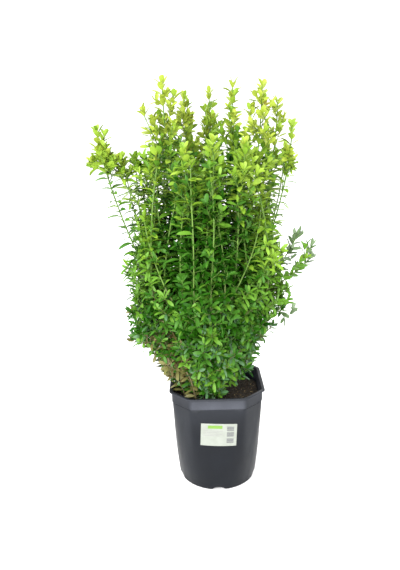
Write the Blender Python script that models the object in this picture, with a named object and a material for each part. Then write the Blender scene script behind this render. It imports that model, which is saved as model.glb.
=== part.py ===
"""A boxwood shrub in its nursery pot, in metres, +Z up.

The pot's front face looks along -Y, and the origin is the middle of the pot's flat underside. A short
woody stock stands on the compost, boughs fan out of it, and leafy masses sit on the boughs: a skirt low
down, a body above it, and upright plumes and side sprays round the top.
"""

from math import asin, atan2, cos, pi, radians, sin, tan

import bmesh
import bpy
import numpy as np
from mathutils import Vector

# Pot, an octagon at the rim that runs down into a round base
POT_HEIGHT = 0.219
RIM_HALF = 0.100
RIM_STRAIGHT_HALF = 0.059
LIP_THICKNESS = 0.003
LIP_OVERHANG = 0.005
LIP_BEVEL = 0.0004
COLLAR_HEIGHT = 0.022
COLLAR_STEP = 0.0012
COLLAR_BEVEL = 0.0006
COLLAR_LOW = POT_HEIGHT - LIP_THICKNESS - COLLAR_HEIGHT
INNER_COLLAR_LOW = COLLAR_LOW + 0.003
WALL = 0.0022
ROUND_BELOW = 0.010
WALL_RINGS = 7
BASE_RADIUS = 0.084
BASE_ROUNDING = 0.004
BASE_MIDDLE_SHARE = 0.3
BODY_FLARE = 0.075
FLOOR_THICKNESS = 0.0075
ARCH_COUNT = 5
ARCH_WIDTH = 0.027
ARCH_HEIGHT = 0.0052
ARCH_DEPTH = 0.014
ARCH_BEYOND = 0.010
ARCH_BELOW = 0.004
ARCH_STEPS = 9

# Compost and label
SOIL_TOP = POT_HEIGHT - 0.030
SOIL_UNEVEN = 0.0022
SOIL_WAVES = 3
SOIL_TWIST = 5
SOIL_RINGS = (0.72, 0.36)
LABEL_WIDTH = 0.074
LABEL_HEIGHT = 0.051
LABEL_MIDDLE_X = 0.001
LABEL_MIDDLE_Z = 0.137
LABEL_LIFT = 0.00095
LABEL_THICKNESS = 0.0006
LABEL_TURN = radians(2.5)
LABEL_ROWS = 5

# Stock and boughs
STOCK_HEIGHT = 0.050
STOCK_RADIUS = 0.0105
STOCK_PROFILE = ((0.0, 1.45), (0.12, 1.1), (0.4, 0.95), (1.0, 0.8))
STOCK_SIDES = 8
FORK_SHARE = 0.7
LIMB_SIDES = 6
BOUGH_BASE_RADIUS = 0.0042
BOUGH_TIP_RADIUS = 0.0022
BOUGH_START = 0.12
BOUGH_AIM = 0.2
KNEE_REACH = 0.35
KNEE_RISE = 0.5
BOUGH_POINTS = 6
SHOOT_POINTS = 5
STALK_POINTS = 3
SHOOT_BASE_RADIUS = 0.0020
SHOOT_TIP_RADIUS = 0.0013
LEAN_POWER = 1.5
SINK = 0.015

# Crown, whose middle stands a little to the left of the pot's
CROWN_SHIFT = -0.016
SKIRT_COUNT = 5
SKIRT_TOP = 0.350
SKIRT_LOW_RING = 0.040
SKIRT_HIGH_RING = 0.084
SKIRT_RADIUS = 0.047
SKIRT_SHIFT = -0.036
SKIRT_TURN = radians(-90)
BODY_COUNT = 6
BODY_TURN = radians(30)
BODY_LOW = 0.275
BODY_TOP = 0.590
BODY_LOW_RING = 0.055
BODY_HIGH_RING = 0.110
BODY_LOW_SHIFT = -0.040
BODY_RADIUS = 0.075
HEART_RADIUS = 0.060
HEART_RISE = 0.035
UNEVENNESS = 0.13

# How far up each kind of mass is fullest, and how blunt its ends are
SKIRT_FULLEST = 0.66
BODY_FULLEST = 0.48
PLUME_FULLEST = 0.42
SPRAY_FULLEST = 0.50
BLUNTNESS = 0.42

# Points along and round each kind of mass
MASS_POINTS = 7
SPRAY_POINTS = 6
MASS_SIDES = 9
PLUME_SIDES = 8
SPRAY_SIDES = 7

# Where pieces touch they keep the gap, and a mass cut by its neighbour the clearance
GAP = 0.0003
CLEARANCE = 1.4 * GAP
SEED = 11

# Each plume: tip x, y, z, then its length and its radius at the thickest
PLUMES = {
    "far_left": (-0.232, -0.020, 0.750, 0.165, 0.033),
    "inner_left": (-0.143, 0.070, 0.706, 0.175, 0.028),
    "side_left": (-0.130, -0.060, 0.782, 0.240, 0.028),
    "tall": (-0.092, -0.040, 0.833, 0.300, 0.031),
    "second": (-0.056, 0.030, 0.808, 0.270, 0.030),
    "thin": (-0.005, 0.085, 0.821, 0.270, 0.024),
    "centre": (0.037, -0.010, 0.828, 0.280, 0.025),
    "right": (0.090, -0.050, 0.822, 0.280, 0.033),
    "right_back": (0.137, 0.060, 0.801, 0.260, 0.026),
    "far_right": (0.152, 0.000, 0.752, 0.205, 0.028),
    "front_left": (-0.054, -0.122, 0.715, 0.200, 0.032),
    "front_centre": (-0.001, -0.142, 0.728, 0.210, 0.028),
    "front_right": (0.052, -0.120, 0.722, 0.210, 0.031),
    "back_left": (-0.105, 0.150, 0.735, 0.220, 0.036),
    "back_centre": (-0.030, 0.184, 0.735, 0.220, 0.035),
    "back_right": (0.082, 0.164, 0.735, 0.220, 0.036),
    "back_far_left": (-0.182, 0.095, 0.660, 0.170, 0.032),
    "back_far_right": (0.158, 0.118, 0.690, 0.190, 0.032),
}

# The plumes that stand clear of the body, on a bare stretch of shoot
CLEAR_PLUMES = ("far_left", "far_right", "back_far_right")
SHOOT_FOOT = 0.470

# Each side spray: root x, y, z and tip x, y, z, then the length and radius of its leafy end
SPRAYS = {
    "right_high": ((0.105, -0.030, 0.435), (0.178, -0.030, 0.560), 0.085, 0.015),
    "right_middle": ((0.120, -0.045, 0.430), (0.198, -0.048, 0.533), 0.080, 0.014),
    "right_low": ((0.115, -0.015, 0.425), (0.208, -0.015, 0.500), 0.075, 0.014),
    "right_under": ((0.090, -0.050, 0.360), (0.162, -0.066, 0.400), 0.050, 0.013),
}


def material(name, colour, roughness, metallic=0.0):
    made = bpy.data.materials.new(name)
    made.use_nodes = True
    shader = made.node_tree.nodes["Principled BSDF"]
    shader.inputs["Base Color"].default_value = (*colour, 1.0)
    shader.inputs["Roughness"].default_value = roughness
    shader.inputs["Metallic"].default_value = metallic
    return made


def pot_plastic():
    return material("pot_plastic", (0.045, 0.050, 0.056), 0.45)


def compost():
    return material("compost", (0.018, 0.012, 0.009), 0.95)


def label_paper():
    return material("label_paper", (0.85, 0.86, 0.83), 0.5)


def bark():
    return material("bark", (0.16, 0.20, 0.06), 0.8)


def dark_leaf():
    return material("dark_leaf", (0.030, 0.110, 0.018), 0.5)


def fresh_leaf():
    return material("fresh_leaf", (0.22, 0.42, 0.03), 0.5)


def new_object(name, mesh, finish):
    made = bpy.data.objects.new(name, mesh)
    bpy.context.scene.collection.objects.link(made)
    mesh.materials.append(finish)
    return made


def smooth(mesh, angle=radians(40)):
    mesh.shade_smooth()
    mesh.set_sharp_from_angle(angle=angle)


def ring_solid(rings, low_point=None, high_point=None):
    """A closed mesh through rings of points, ended by a flat cap or drawn together to a point."""
    mesh = bpy.data.meshes.new("ring_solid")
    form = bmesh.new()
    loops = [[form.verts.new(point) for point in ring] for ring in rings]
    for lower, upper in zip(loops, loops[1:]):
        for i in range(len(lower)):
            j = (i + 1) % len(lower)
            form.faces.new((lower[i], lower[j], upper[j]))
            form.faces.new((lower[i], upper[j], upper[i]))
    for loop, point in ((loops[0][::-1], low_point), (loops[-1], high_point)):
        if point is None:
            form.faces.new(loop)
            continue
        end = form.verts.new(point)
        for i in range(len(loop)):
            form.faces.new((loop[i], loop[(i + 1) % len(loop)], end))
    bmesh.ops.recalc_face_normals(form, faces=form.faces)
    form.to_mesh(mesh)
    form.free()
    return mesh


def outline_angles():
    """Directions round the pot: three inner ones on each flat side, and one on each cut corner."""
    corner = atan2(RIM_STRAIGHT_HALF, RIM_HALF)
    angles = []
    for quarter in range(4):
        turn = quarter * pi / 2
        angles += [turn + a for a in np.linspace(-corner, corner, 5)]
        angles += [turn + a for a in np.linspace(corner, pi / 2 - corner, 3)[1:-1]]
    return angles


def octagon_reach(angle, half):
    """How far a square of this half width with its corners cut reaches in this direction."""
    cut = (RIM_HALF + RIM_STRAIGHT_HALF) / RIM_HALF
    x = abs(cos(angle))
    y = abs(sin(angle))
    return half * min(1 / max(x, y), cut / (x + y))


def squareness(z):
    """How far the wall has gone over from round at its foot, 0, to eight-sided at the collar, 1."""
    return min(max((z - ROUND_BELOW) / (COLLAR_LOW - ROUND_BELOW), 0.0), 1.0)


def body_reach(angle, z, inset=0.0):
    """The pot body's outer surface."""
    square = squareness(z)
    round_reach = BASE_RADIUS + BODY_FLARE * z
    flat_half = RIM_HALF - LIP_OVERHANG - COLLAR_STEP
    return (1 - square) * round_reach + square * octagon_reach(angle, flat_half) - inset


def ring(reach, z, angles):
    return [(reach(a) * cos(a), reach(a) * sin(a), z) for a in angles]


def wall_heights():
    """Where the wall below the collar has a ring of points."""
    return [BASE_ROUNDING, *(float(z) for z in np.linspace(ROUND_BELOW, COLLAR_LOW, WALL_RINGS))]


def inner_rings(angles, gap=0.0):
    """The inside of the pot's wall from its floor up to the collar, as rings."""
    heights = [FLOOR_THICKNESS + gap, *wall_heights()[1:]]
    return [ring(lambda a, z=z: body_reach(a, z, WALL + gap), z, angles) for z in heights]


def arch_cutter(index):
    """A half-round tunnel that cuts a drain arch through the pot's lower edge."""
    turn = -pi / 2 + 2 * pi * index / ARCH_COUNT
    out = Vector((cos(turn), sin(turn), 0))
    side = Vector((-sin(turn), cos(turn), 0))
    steps = np.linspace(0, pi, ARCH_STEPS)
    rings = []
    for reach in (BASE_RADIUS - ARCH_DEPTH, BASE_RADIUS + ARCH_BEYOND):
        arc = [
            out * reach + side * (ARCH_WIDTH / 2 * cos(s)) + Vector((0, 0, ARCH_HEIGHT * sin(s)))
            for s in steps
        ]
        foot = [out * reach + side * (ARCH_WIDTH / 2 * x) - Vector((0, 0, ARCH_BELOW)) for x in (-1, 1)]
        rings.append(arc + foot)
    cutter = bpy.data.objects.new(f"arch_cutter_{index}", ring_solid(rings))
    bpy.context.scene.collection.objects.link(cutter)
    hide(cutter)
    return cutter


def hide(cutter):
    cutter.hide_render = True
    cutter.display_type = "WIRE"


def cut(target, cutter, solver="EXACT"):
    step = target.modifiers.new("cut_" + cutter.name, "BOOLEAN")
    step.operation = "DIFFERENCE"
    step.solver = solver
    step.object = cutter


def make_pot(finish):
    angles = outline_angles()
    lip_low = POT_HEIGHT - LIP_THICKNESS
    collar_half = RIM_HALF - LIP_OVERHANG
    inner_half = collar_half - WALL
    rounding = BASE_MIDDLE_SHARE * BASE_ROUNDING
    outer = [
        ring(lambda a: BASE_RADIUS - BASE_ROUNDING, 0.0, angles),
        ring(lambda a: BASE_RADIUS - rounding, rounding, angles),
    ]
    outer += [ring(lambda a, z=z: body_reach(a, z), z, angles) for z in wall_heights()]
    outer += [
        ring(lambda a: octagon_reach(a, collar_half), COLLAR_LOW + COLLAR_BEVEL, angles),
        ring(lambda a: octagon_reach(a, collar_half), lip_low, angles),
        ring(lambda a: octagon_reach(a, RIM_HALF), lip_low + LIP_BEVEL, angles),
        ring(lambda a: octagon_reach(a, RIM_HALF), POT_HEIGHT, angles),
        ring(lambda a: octagon_reach(a, inner_half), POT_HEIGHT, angles),
        ring(lambda a: octagon_reach(a, inner_half), INNER_COLLAR_LOW, angles),
    ]
    rings = outer + inner_rings(angles)[::-1]
    pot = new_object("pot", ring_solid(rings, (0, 0, 0), (0, 0, FLOOR_THICKNESS)), finish)
    for index in range(ARCH_COUNT):
        # The exact solver leaves the floor's edge open at these arches
        cut(pot, arch_cutter(index), "MANIFOLD")
    smooth(pot.data)
    return pot


def make_soil(finish):
    angles = outline_angles()
    rings = [points for points in inner_rings(angles, 2 * GAP) if points[0][2] < SOIL_TOP]
    rings.append(ring(lambda a: wall_reach(a, SOIL_TOP) - WALL - 3 * GAP, SOIL_TOP, angles))
    for share in SOIL_RINGS:
        rings.append([
            (
                share * body_reach(a, SOIL_TOP, WALL) * cos(a),
                share * body_reach(a, SOIL_TOP, WALL) * sin(a),
                SOIL_TOP - SOIL_UNEVEN * (0.5 + 0.5 * sin(SOIL_WAVES * a + SOIL_TWIST * share)),
            )
            for a in angles
        ])
    return new_object("compost", ring_solid(rings[::-1], (0, 0, SOIL_TOP - SOIL_UNEVEN)), finish)


def make_label(finish):
    """A thin sticker on the pot's front, with a column of points on each edge between the wall's facets."""
    reach = body_reach(-pi / 2, LABEL_MIDDLE_Z)
    left, right = (
        -pi / 2 + asin((LABEL_MIDDLE_X + side * LABEL_WIDTH / 2) / reach) for side in (-1, 1)
    )
    facets = [a - 2 * pi for a in outline_angles() if left < a - 2 * pi < right]
    angles = [left, *facets, right]
    rings = []
    for row in np.linspace(-0.5, 0.5, LABEL_ROWS):
        loop = []
        for lift, way in ((LABEL_LIFT, 1), (LABEL_LIFT + LABEL_THICKNESS, -1)):
            for angle in angles[::way]:
                x = reach * cos(angle)
                z = LABEL_MIDDLE_Z + row * LABEL_HEIGHT - (x - LABEL_MIDDLE_X) * tan(LABEL_TURN)
                out = wall_reach(angle, z) + lift
                loop.append((out * cos(angle), out * sin(angle), z))
        rings.append(loop)
    return new_object("label", ring_solid(rings), finish)


def wall_reach(angle, z):
    """How far the pot's faceted wall reaches in this direction, between its rings and its corners."""
    heights = wall_heights()
    angles = np.array(outline_angles())
    turned = (angle - angles[0]) % (2 * pi) + angles[0]
    left = int(np.searchsorted(angles, turned, side="right")) - 1
    first = angles[left]
    second = angles[(left + 1) % len(angles)]
    reaches = []
    for height in heights:
        near = body_reach(first, height)
        far = body_reach(second, height)
        # The straight edge between two corners, met by a ray in this direction
        across = near * far * sin(second - first)
        reaches.append(across / (near * sin(turned - first) + far * sin(second - turned)))
    return float(np.interp(z, heights, reaches))


def limb_point(tip, share):
    """A point on the limb from the stock to a tip: it leans out first and then rises."""
    spread = 1 - (1 - share) ** LEAN_POWER
    return Vector((tip[0] * spread, tip[1] * spread, SOIL_TOP + (tip[2] - SOIL_TOP) * share))


def limb_share(tip, z):
    return (z - SOIL_TOP) / (tip[2] - SOIL_TOP)


def frame_along(direction):
    """Two directions across a limb, square to it and to each other."""
    direction = direction.normalized()
    aside = direction.cross(Vector((0, 1, 0))).normalized()
    return aside, direction.cross(aside)


def limb_rings(points, radii, sides):
    rings = []
    for i, (point, radius) in enumerate(zip(points, radii)):
        ahead = points[min(i + 1, len(points) - 1)] - points[max(i - 1, 0)]
        aside, across = frame_along(ahead)
        turns = [2 * pi * k / sides for k in range(sides)]
        rings.append([point + (aside * cos(t) + across * sin(t)) * float(radius) for t in turns])
    return rings


def leafy_mesh(points, radii, rng, sides=MASS_SIDES):
    """A closed uneven solid round a line: a point at each end, and bulges that the seed sets."""
    rings = limb_rings(points[1:-1], radii[1:-1], sides)
    for i, loop in enumerate(rings):
        middle = points[i + 1]
        stray = Vector((rng.uniform(-1, 1), rng.uniform(-1, 1), 0)) * float(UNEVENNESS * radii[i + 1])
        for k, point in enumerate(loop):
            bulge = float(1 + UNEVENNESS * rng.uniform(-1, 1))
            loop[k] = middle + stray + (point - middle) * bulge
    return ring_solid(rings, points[0], points[-1])


def swollen(mesh, amount):
    """The same shape with its surface moved out, to cut the neighbour with a clearance."""
    grown = mesh.copy()
    form = bmesh.new()
    form.from_mesh(grown)
    form.normal_update()
    moved = [vert.co + vert.normal * amount for vert in form.verts]
    for vert, place in zip(form.verts, moved):
        vert.co = place
    form.to_mesh(grown)
    form.free()
    return grown


def mesh_box(mesh):
    places = np.array([vert.co for vert in mesh.vertices])
    return places.min(0), places.max(0)


class Crown:
    """Places solids one after another, each cut back from those already there."""

    def __init__(self):
        self.cutters = []

    def add(self, name, mesh, finish):
        made = new_object(name, mesh, finish)
        low, high = mesh_box(mesh)
        for cutter, other_low, other_high in self.cutters:
            if (low < other_high).all() and (high > other_low).all():
                cut(made, cutter)
        self.keep_clear(name, mesh)
        smooth(mesh, radians(60))
        return made

    def keep_clear(self, name, mesh):
        cutter = bpy.data.objects.new("clear_of_" + name, swollen(mesh, CLEARANCE))
        bpy.context.scene.collection.objects.link(cutter)
        hide(cutter)
        self.cutters.append((cutter, *mesh_box(cutter.data)))


def stock_mesh():
    """The short woody foot: flared at the compost, with a flat cut under it."""
    turns = 2 * pi / STOCK_SIDES * np.arange(STOCK_SIDES)
    rings = []
    for share, width in STOCK_PROFILE:
        z = SOIL_TOP + GAP + STOCK_HEIGHT * share
        rings.append([(STOCK_RADIUS * width * cos(t), STOCK_RADIUS * width * sin(t), z) for t in turns])
    return ring_solid(rings)


def body_point(index, share):
    """A point inside one part of the leafy body, from its foot to its top."""
    turn = BODY_TURN + 2 * pi * index / BODY_COUNT
    opened = 1 - (1 - share) ** 2
    reach = BODY_LOW_RING + (BODY_HIGH_RING - BODY_LOW_RING) * opened
    side = BODY_LOW_SHIFT + (CROWN_SHIFT - BODY_LOW_SHIFT) * opened
    return Vector((side + reach * cos(turn), reach * sin(turn), BODY_LOW + (BODY_TOP - BODY_LOW) * share))


def limb_mesh(points, base_radius, tip_radius):
    radii = np.linspace(base_radius, tip_radius, len(points))
    return ring_solid(limb_rings(points, radii, LIMB_SIDES))


def make_boughs(crown, finish):
    """The stock, and one bough that leans out of it into each part of the body."""
    crown.add("stock", stock_mesh(), finish)
    fork = Vector((0, 0, SOIL_TOP + STOCK_HEIGHT * FORK_SHARE))
    for index in range(BODY_COUNT):
        aim = body_point(index, BOUGH_AIM)
        knee = fork + Vector((aim.x * KNEE_REACH, aim.y * KNEE_REACH, (aim.z - fork.z) * KNEE_RISE))
        shares = np.linspace(BOUGH_START, 1, BOUGH_POINTS)
        points = [fork.lerp(knee, s).lerp(knee.lerp(aim, s), s) for s in shares]
        crown.add(f"bough_{index + 1}", limb_mesh(points, BOUGH_BASE_RADIUS, BOUGH_TIP_RADIUS), finish)


def make_shoots(crown, finish):
    """The bare stretches that carry the plumes and sprays which stand clear of the body."""
    for name in CLEAR_PLUMES:
        x, y, z, length, _ = PLUMES[name]
        heights = np.linspace(SHOOT_FOOT, z - length + SINK, SHOOT_POINTS)
        points = [limb_point((x, y, z), limb_share((x, y, z), h)) for h in heights]
        crown.add("shoot_" + name, limb_mesh(points, SHOOT_BASE_RADIUS, SHOOT_TIP_RADIUS), finish)
    for name, (root, tip, length, _) in SPRAYS.items():
        root = Vector(root)
        tip = Vector(tip)
        end = tip + (root - tip).normalized() * (length - SINK)
        points = [root.lerp(end, s) for s in np.linspace(0, 1, STALK_POINTS)]
        crown.add("shoot_" + name, limb_mesh(points, SHOOT_BASE_RADIUS, SHOOT_TIP_RADIUS), finish)


def profile(count, fullest):
    """Places along a mass and its widths there: a blunt spindle that is fullest part way up."""
    shares = (1 - np.cos(np.linspace(0, pi, count))) / 2
    bent = shares ** (np.log(0.5) / np.log(fullest))
    return shares, (4 * bent * (1 - bent)) ** BLUNTNESS


def make_body(crown, rng, finish):
    """The dense middle of the crown: one mass inside and a ring of masses round it."""
    shares, widths = profile(MASS_POINTS, BODY_FULLEST)
    rise = Vector((0, 0, BODY_TOP - BODY_LOW))
    foot = Vector((CROWN_SHIFT, 0, BODY_LOW + HEART_RISE))
    points = [foot + rise * float(s) for s in shares]
    crown.add("mass_body_inside", leafy_mesh(points, widths * HEART_RADIUS, rng), finish)
    for index in range(BODY_COUNT):
        points = [body_point(index, float(s)) for s in shares]
        crown.add(f"mass_body_{index + 1}", leafy_mesh(points, widths * BODY_RADIUS, rng), finish)


def make_skirt(crown, rng, finish):
    """The lowest leaves, from the compost out over the rim."""
    low = SOIL_TOP + GAP
    shares, widths = profile(MASS_POINTS, SKIRT_FULLEST)
    for index in range(SKIRT_COUNT):
        turn = SKIRT_TURN + 2 * pi * index / SKIRT_COUNT
        points = []
        for share in shares:
            reach = SKIRT_LOW_RING + (SKIRT_HIGH_RING - SKIRT_LOW_RING) * share
            side = SKIRT_SHIFT * share
            height = low + (SKIRT_TOP - low) * share
            points.append(Vector((side + reach * cos(turn), reach * sin(turn), height)))
        crown.add(f"mass_skirt_{index + 1}", leafy_mesh(points, widths * SKIRT_RADIUS, rng), finish)


def make_plumes(crown, rng, finish):
    shares, widths = profile(MASS_POINTS, PLUME_FULLEST)
    for name, (x, y, z, length, radius) in PLUMES.items():
        heights = z - length + length * shares
        points = [limb_point((x, y, z), limb_share((x, y, z), h)) for h in heights]
        crown.add("plume_" + name, leafy_mesh(points, widths * radius, rng, PLUME_SIDES), finish)


def make_sprays(crown, rng, finish):
    shares, widths = profile(SPRAY_POINTS, SPRAY_FULLEST)
    for name, (root, tip, length, radius) in SPRAYS.items():
        tip = Vector(tip)
        foot = tip + (Vector(root) - tip).normalized() * length
        points = [foot.lerp(tip, float(s)) for s in shares]
        crown.add("spray_" + name, leafy_mesh(points, widths * radius, rng, SPRAY_SIDES), finish)


def main():
    for old in list(bpy.data.objects):
        bpy.data.objects.remove(old)
    rng = np.random.default_rng(SEED)
    make_pot(pot_plastic())
    make_soil(compost())
    make_label(label_paper())
    crown = Crown()
    wood = bark()
    make_boughs(crown, wood)
    make_shoots(crown, wood)
    dark = dark_leaf()
    make_body(crown, rng, dark)
    make_skirt(crown, rng, dark)
    fresh = fresh_leaf()
    make_plumes(crown, rng, fresh)
    make_sprays(crown, rng, fresh)


main()
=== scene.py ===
"""The looks of a boxwood shrub in its nursery pot, in metres, +Z up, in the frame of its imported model.

Canes rise out of the stock's boughs, twigs grow from the canes to fill each mass of foliage, and every
twig carries leaves in crossed pairs. The pot, the compost and the label are modelled round the same sizes.
"""
from math import asin, atan2, cos, hypot, pi, radians, sin

import bpy
import numpy as np
from mathutils import Euler, Matrix, Vector
from mathutils.bvhtree import BVHTree


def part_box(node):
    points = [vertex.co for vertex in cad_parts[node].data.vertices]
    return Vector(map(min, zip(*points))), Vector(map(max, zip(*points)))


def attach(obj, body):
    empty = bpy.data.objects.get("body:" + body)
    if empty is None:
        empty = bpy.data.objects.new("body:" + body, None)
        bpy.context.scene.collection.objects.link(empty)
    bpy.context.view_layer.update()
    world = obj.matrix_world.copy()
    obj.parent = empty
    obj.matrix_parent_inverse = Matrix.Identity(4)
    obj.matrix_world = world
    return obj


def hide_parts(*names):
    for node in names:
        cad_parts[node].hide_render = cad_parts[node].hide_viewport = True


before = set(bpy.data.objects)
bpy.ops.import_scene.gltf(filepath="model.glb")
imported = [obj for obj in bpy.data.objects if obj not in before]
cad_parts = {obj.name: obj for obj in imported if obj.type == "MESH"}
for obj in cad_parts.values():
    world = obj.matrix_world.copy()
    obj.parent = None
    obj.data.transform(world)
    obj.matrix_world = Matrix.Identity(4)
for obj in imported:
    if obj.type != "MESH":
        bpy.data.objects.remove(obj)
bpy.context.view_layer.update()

SEED = 5
TAU = 2 * pi

# Pot sizes
POT_HEIGHT = 0.219
RIM_HALF = 0.100
RIM_STRAIGHT_HALF = 0.059
LIP_THICKNESS = 0.003
LIP_OVERHANG = 0.005
COLLAR_HEIGHT = 0.022
COLLAR_STEP = 0.0012
COLLAR_LOW = POT_HEIGHT - LIP_THICKNESS - COLLAR_HEIGHT
WALL = 0.0022
ROUND_BELOW = 0.010
BASE_RADIUS = 0.084
BASE_ROUNDING = 0.004
BODY_FLARE = 0.075
FLOOR_THICKNESS = 0.0075
ARCH_COUNT = 5
ARCH_WIDTH = 0.027
ARCH_HEIGHT = 0.0052
CORNER_SHARPNESS = 70
CORNER_SOFTNESS = 16
FLAT_HALF = 0.057
POT_SIDES = 240
SOIL_TOP = POT_HEIGHT - 0.030
SOIL_DEPTH = 0.008

# Label sizes
LABEL_WIDTH = 0.074
LABEL_HEIGHT = 0.051
LABEL_MIDDLE_X = 0.001
LABEL_MIDDLE_Z = 0.137
LABEL_TURN = radians(2.5)
LABEL_LIFT = 0.0004
PAPER = 0.0003
PRINT = 0.00012

# Limb sizes
STOCK_HEIGHT = 0.050
STOCK_RADIUS = 0.0105
BOUGH_BASE_RADIUS = 0.0042
BOUGH_TIP_RADIUS = 0.0022
CANE_BASE_RADIUS = 0.0019
CANE_TIP_RADIUS = 0.0012
TWIG_BASE_RADIUS = 0.0010
TWIG_TIP_RADIUS = 0.00055
TWIG_RINGS = 7
LEAN_POWER = 1.5

# Crown sizes
CROWN_SHIFT = -0.016
BODY_COUNT = 6
BODY_LOW = 0.275
BODY_TOP = 0.590
BODY_LOW_RING = 0.055
BODY_HIGH_RING = 0.110
BODY_LOW_SHIFT = -0.040
SHOOT_FOOT = 0.470
CANE_JOIN = 0.430
CANE_STEP = 0.008
CANE_RUN = 7
SURFACE_CANES = 32
FAN_LOW = 0.30
FAN_RISE = 0.15
INNER_CANES = 30
INNER_REACH = 0.125
PLUME_SHOOTS = 6
LOW_SHOOTS = 60
SUCKERS = 30
SUCKER_SHIFT = -0.018
GOLDEN_SHARE = 0.618034
LADDER_LOW = 0.45
LADDER_HIGH = 0.62
LADDER_OPEN = 0.45
BARE_SOIL_X = -0.004
BARE_SOIL_Z = 0.285
BARE_SOIL_SLOPE = 1.0
BROWN_MIDDLE = (-0.098, -0.055, 0.278)
BROWN_SIZE = (0.034, 0.050, 0.062)
# How low, and how often, leaves take the bluish tone of painted sheen
SHEEN_BELOW = 0.43
SHEEN_SHARE = 1.6
MOST_LEAVES = 12000

PLUME_TIPS = {
    "far_left": (-0.219, -0.020, 0.750),
    "inner_left": (-0.143, 0.070, 0.706),
    "side_left": (-0.126, -0.060, 0.774),
    "tall": (-0.092, -0.040, 0.833),
    "second": (-0.056, 0.030, 0.808),
    "thin": (-0.005, 0.085, 0.821),
    "centre": (0.037, -0.010, 0.828),
    "right": (0.090, -0.050, 0.822),
    "right_back": (0.137, 0.060, 0.801),
    "far_right": (0.152, 0.000, 0.752),
    "front_left": (-0.054, -0.122, 0.715),
    "front_centre": (-0.001, -0.142, 0.728),
    "front_right": (0.052, -0.120, 0.722),
    "back_left": (-0.105, 0.150, 0.735),
    "back_centre": (-0.030, 0.184, 0.735),
    "back_right": (0.082, 0.164, 0.735),
    "back_far_left": (-0.182, 0.095, 0.660),
    "back_far_right": (0.158, 0.118, 0.690),
}

# Plumes that branch off another plume's cane, and how far below their tips
SIDE_BRANCHES = {"side_left": "tall"}
SIDE_BRANCH_RISE = 0.085

# How far each plume's leaves are paler or darker than its height makes them: partly each plume's own tone, and for
# plumes that stand behind others, such as inner_left and thin, painted shade
PLUME_SHADES = {
    "tall": 0.0, "thin": -0.7, "inner_left": -0.8, "right": 0.5, "far_right": 0.4, "far_left": 0.3,
    "second": 0.2, "centre": -0.2, "front_left": -0.3, "front_centre": -0.5, "front_right": -0.3,
}

# Heights, and how far to the left and right of the pot's axis twigs may end there
EDGE_HEIGHTS = (0.280, 0.310, 0.360, 0.450, 0.520, 0.575, 0.620, 0.650, 0.675, 0.705, 0.750)
LEFT_EDGE = (-0.125, -0.158, -0.163, -0.160, -0.166, -0.182, -0.180, -0.196, -0.216, -0.215, -0.206)
RIGHT_EDGE = (0.072, 0.082, 0.108, 0.134, 0.124, 0.100, 0.100, 0.112, 0.138, 0.116, 0.150)

# Gaps in the crown's sides that only ladder canes cross: lowest and highest x and z, and how open
SIDE_GAPS = (
    (-0.30, -0.082, 0.545, 0.662, 0.82),
    (0.080, 0.30, 0.535, 0.660, 0.84),
    (-0.195, -0.118, 0.695, 0.765, 0.90),
    (0.046, 0.066, 0.745, 0.840, 1.00),
    (0.130, 0.200, 0.690, 0.714, 0.80),
    (-0.036, -0.014, 0.745, 0.840, 1.00),
)

# Clusters of leafy shoots that stand free of the foliage solids: the plume or mass that each belongs to,
# its middle, its radius and how many shoots it has
CLUSTERS = (
    ("plume_far_left", (-0.230, -0.020, 0.686), 0.010, 4),
    ("plume_far_left", (-0.200, -0.020, 0.700), 0.018, 11),
    ("plume_far_left", (-0.180, -0.020, 0.686), 0.012, 4),
    ("plume_far_left", (-0.210, -0.020, 0.728), 0.008, 2),
    ("plume_far_left", (-0.172, 0.000, 0.662), 0.018, 12),
    ("plume_inner_left", (-0.158, 0.030, 0.682), 0.011, 4),
    ("plume_inner_left", (-0.132, 0.050, 0.668), 0.018, 9),
    ("plume_far_right", (0.150, 0.000, 0.668), 0.014, 6),
    ("plume_far_right", (0.143, -0.010, 0.694), 0.012, 4),
    ("mass_body_4", (-0.170, -0.030, 0.474), 0.014, 6),
    ("mass_body_4", (-0.166, -0.030, 0.383), 0.014, 8),
    ("mass_body_4", (-0.166, -0.030, 0.336), 0.014, 8),
    ("plume_second", (-0.057, 0.000, 0.765), 0.016, 6),
    ("plume_front_centre", (0.008, -0.060, 0.662), 0.026, 12),
    ("plume_front_left", (-0.022, -0.088, 0.640), 0.028, 12),
    ("plume_front_right", (0.040, -0.086, 0.635), 0.028, 10),
    ("plume_back_centre", (-0.030, 0.112, 0.640), 0.030, 12),
    ("mass_body_1", (0.131, -0.045, 0.428), 0.018, 10),
    ("mass_body_1", (0.124, -0.045, 0.400), 0.018, 8),
    ("mass_body_1", (0.120, -0.030, 0.462), 0.018, 6),
)

# Canes that cross those gaps, from low to high, and the colours of their leaves; the dark and deep tones are partly the
# leaves' own darker green and partly painted shade
LADDER_CANES = (
    ((-0.132, 0.020, 0.439), (-0.150, 0.020, 0.577), (-0.155, 0.015, 0.690), ("fresh", "dark", "lime")),
    ((-0.122, 0.050, 0.460), (-0.135, 0.050, 0.570), (-0.134, 0.055, 0.684), ("dark", "deep", "dark")),
    ((-0.108, 0.020, 0.440), (-0.106, 0.030, 0.560), (-0.102, 0.030, 0.690), ("dark", "deep", "mid")),
    ((-0.130, 0.100, 0.450), (-0.145, 0.105, 0.550), (-0.150, 0.100, 0.650), ("mid", "dark", "mid")),
    ((0.106, -0.020, 0.430), (0.109, -0.020, 0.545), (0.108, -0.020, 0.690), ("dark", "mid", "fresh")),
    ((0.092, 0.050, 0.440), (0.100, 0.055, 0.550), (0.108, 0.050, 0.690), ("mid", "dark", "mid")),
)

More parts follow.
